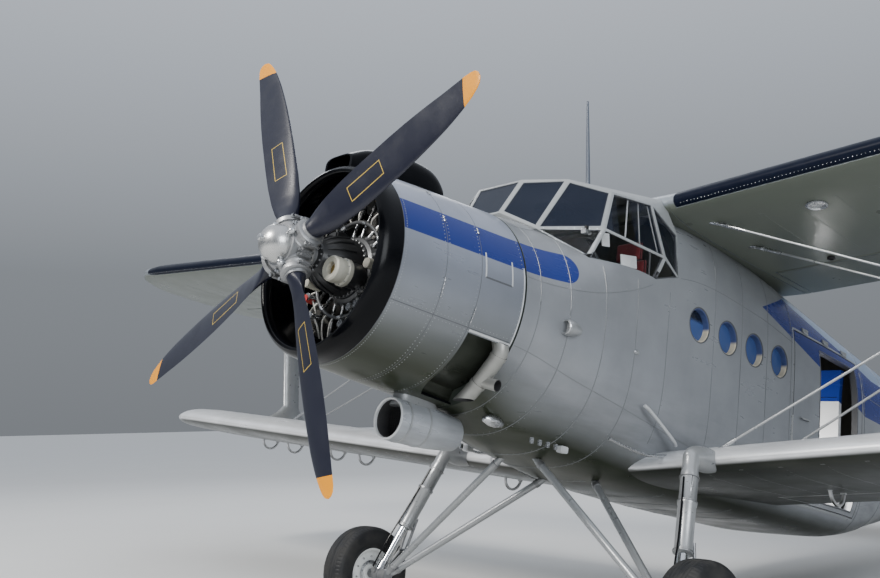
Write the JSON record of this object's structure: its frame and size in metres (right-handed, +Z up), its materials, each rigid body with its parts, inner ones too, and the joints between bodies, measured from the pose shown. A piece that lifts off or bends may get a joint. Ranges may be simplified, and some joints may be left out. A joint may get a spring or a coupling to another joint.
{
  "type": "biplane",
  "caption": "Single-engine cabin biplane with a radial engine and propeller, braced wings with slats and flaps, and a tail wheel, parked with its cabin door open.",
  "frame": {"origin": "on the ground plane, under the middle of the overall box, with the aircraft parked on its three wheels", "axes": "+X to port along the span, +Y aft along the ground, +Z up; the fuselage sits nose up by 11.8 degrees"},
  "size_m": [18.1508, 12.8038, 4.5441],
  "materials": {
    "silver_paint": "satin",
    "cowl_paint": "gloss",
    "black_paint": "gloss",
    "blade_paint": "satin",
    "slat_paint": "gloss",
    "frame_paint": "satin",
    "leg_paint": "gloss",
    "floor_panel": "matte",
    "steel": "brushed",
    "engine_metal": "dark",
    "gear_case_paint": "satin",
    "exhaust_steel": "heat stained",
    "glazing": "clear",
    "panel_black": "matte",
    "seat_cloth": "woven",
    "tyre_rubber": "worn"
  },
  "bodies": {
    "airframe": {"fuselage": "silver_paint", "tail_boom": "silver_paint", "canopy_frame": "frame_paint", "canopy_glass": "glazing", "freight_door": "silver_paint", "cabin_floor": "floor_panel", "cockpit_floor": "floor_panel", "instrument_panel": "panel_black", "seat_port": "seat_cloth", "seat_starboard": "seat_cloth", "engine_cowling": "cowl_paint", "engine": "engine_metal", "gear_case": "gear_case_paint", "air_scoop": "black_paint", "oil_cooler": "cowl_paint", "exhaust_pipe": "exhaust_steel", "upper_wing_centre": "silver_paint", "upper_wing_port": "silver_paint", "upper_wing_starboard": "silver_paint", "lower_wing_port": "silver_paint", "lower_wing_starboard": "silver_paint", "interplane_strut_port": "silver_paint", "interplane_strut_starboard": "silver_paint", "bracing_wires_port": "steel", "bracing_wires_starboard": "steel", "fin": "silver_paint", "tailplane_port": "silver_paint", "tailplane_starboard": "silver_paint", "tailplane_strut_port": "steel", "tailplane_strut_starboard": "steel", "shock_strut_port": "leg_paint", "shock_strut_starboard": "leg_paint", "gear_brace_port": "steel", "gear_brace_starboard": "steel", "aerial_mast": "steel"},
    "propeller": {"propeller_hub": "steel", "propeller_blade_1": "blade_paint", "propeller_blade_2": "blade_paint", "propeller_blade_3": "blade_paint", "propeller_blade_4": "blade_paint"},
    "slat_port": {"slat_port": "slat_paint"},
    "slat_starboard": {"slat_starboard": "slat_paint"},
    "upper_flap_port": {"upper_flap_port": "silver_paint"},
    "upper_flap_starboard": {"upper_flap_starboard": "silver_paint"},
    "aileron_port": {"aileron_port": "silver_paint"},
    "aileron_starboard": {"aileron_starboard": "silver_paint"},
    "lower_flap_port": {"lower_flap_port": "silver_paint"},
    "lower_flap_starboard": {"lower_flap_starboard": "silver_paint"},
    "rudder": {"rudder": "silver_paint"},
    "elevator_port": {"elevator_port": "silver_paint"},
    "elevator_starboard": {"elevator_starboard": "silver_paint"},
    "main_wheel_port": {"main_rim_port": "steel", "main_tyre_port": "tyre_rubber"},
    "main_wheel_starboard": {"main_rim_starboard": "steel", "main_tyre_starboard": "tyre_rubber"},
    "tail_castor": {"tail_fork": "steel"},
    "tail_wheel": {"tail_rim": "steel", "tail_tyre": "tyre_rubber"},
    "passenger_door": {"passenger_door": "silver_paint"}
  },
  "joints": [
    {"name": "propeller_spin", "type": "hinge", "parent": "airframe", "child": "propeller", "pos_m": [0, -6.01067, 2.8667], "axis": [0, 0.9789, -0.2045], "continuous": true},
    {"name": "slat_slide_port", "type": "slide", "parent": "airframe", "child": "slat_port", "axis": [-0.0037, -0.9668, 0.2553], "range_m": [0, 0.11]},
    {"name": "slat_slide_starboard", "type": "slide", "parent": "airframe", "child": "slat_starboard", "axis": [0.0037, -0.9668, 0.2553], "range_m": [0, 0.11]},
    {"name": "upper_flap_hinge_port", "type": "hinge", "parent": "airframe", "child": "upper_flap_port", "pos_m": [3.01536, -1.09888, 3.25624], "axis": [0.9976, 0.0143, 0.0683], "range_deg": [-40, 0]},
    {"name": "lower_flap_hinge_port", "type": "hinge", "parent": "airframe", "child": "lower_flap_port", "pos_m": [3.70987, -1.76654, 1.32101], "axis": [0.9963, 0.0175, 0.0836], "range_deg": [-40, 0]},
    {"name": "aileron_hinge_port", "type": "hinge", "parent": "airframe", "child": "aileron_port", "pos_m": [6.70635, -1.0461, 3.50888], "axis": [0.9976, 0.0143, 0.0683], "range_deg": [-14, 30]},
    {"name": "elevator_hinge_port", "type": "hinge", "parent": "airframe", "child": "elevator_port", "pos_m": [2, 5.29229, 1.07742], "axis": [1, 0, 0], "range_deg": [-22.5, 35]},
    {"name": "upper_flap_hinge_starboard", "type": "hinge", "parent": "airframe", "child": "upper_flap_starboard", "pos_m": [-3.01536, -1.09888, 3.25624], "axis": [0.9976, -0.0143, -0.0683], "range_deg": [-40, 0]},
    {"name": "lower_flap_hinge_starboard", "type": "hinge", "parent": "airframe", "child": "lower_flap_starboard", "pos_m": [-3.70987, -1.76654, 1.32101], "axis": [0.9963, -0.0175, -0.0836], "range_deg": [-40, 0]},
    {"name": "aileron_hinge_starboard", "type": "hinge", "parent": "airframe", "child": "aileron_starboard", "pos_m": [-6.70635, -1.0461, 3.50888], "axis": [0.9976, -0.0143, -0.0683], "range_deg": [-14, 30]},
    {"name": "elevator_hinge_starboard", "type": "hinge", "parent": "airframe", "child": "elevator_starboard", "pos_m": [-2, 5.29229, 1.07742], "axis": [1, 0, 0], "range_deg": [-22.5, 35]},
    {"name": "rudder_hinge", "type": "hinge", "parent": "airframe", "child": "rudder", "pos_m": [0, 5.42317, 1.7039], "axis": [0, 0.2045, 0.9789], "range_deg": [-28, 28]},
    {"name": "main_wheel_spin_port", "type": "hinge", "parent": "airframe", "child": "main_wheel_port", "pos_m": [1.7, -4.0272, 0.39995], "axis": [1, 0, 0], "continuous": true},
    {"name": "main_wheel_spin_starboard", "type": "hinge", "parent": "airframe", "child": "main_wheel_starboard", "pos_m": [-1.7, -4.0272, 0.39995], "axis": [1, 0, 0], "continuous": true},
    {"name": "tail_castor_pivot", "type": "hinge", "parent": "airframe", "child": "tail_castor", "pos_m": [0, 4.17265, 0.52982], "axis": [0, 0, 1], "continuous": true},
    {"name": "tail_wheel_spin", "type": "hinge", "parent": "tail_castor", "child": "tail_wheel", "pos_m": [0, 4.30505, 0.2345], "axis": [1, 0, 0], "continuous": true},
    {"name": "passenger_door_hinge", "type": "hinge", "parent": "airframe", "child": "passenger_door", "pos_m": [0.742, 0.24526, 1.55974], "axis": [0, 0.2045, 0.9789], "range_deg": [0, 88]}
  ],
  "couplings": [
    {"joint": "upper_flap_hinge_starboard", "follows": "upper_flap_hinge_port", "ratio": 1},
    {"joint": "lower_flap_hinge_port", "follows": "upper_flap_hinge_port", "ratio": 1},
    {"joint": "lower_flap_hinge_starboard", "follows": "upper_flap_hinge_port", "ratio": 1},
    {"joint": "elevator_hinge_starboard", "follows": "elevator_hinge_port", "ratio": 1}
  ]
}
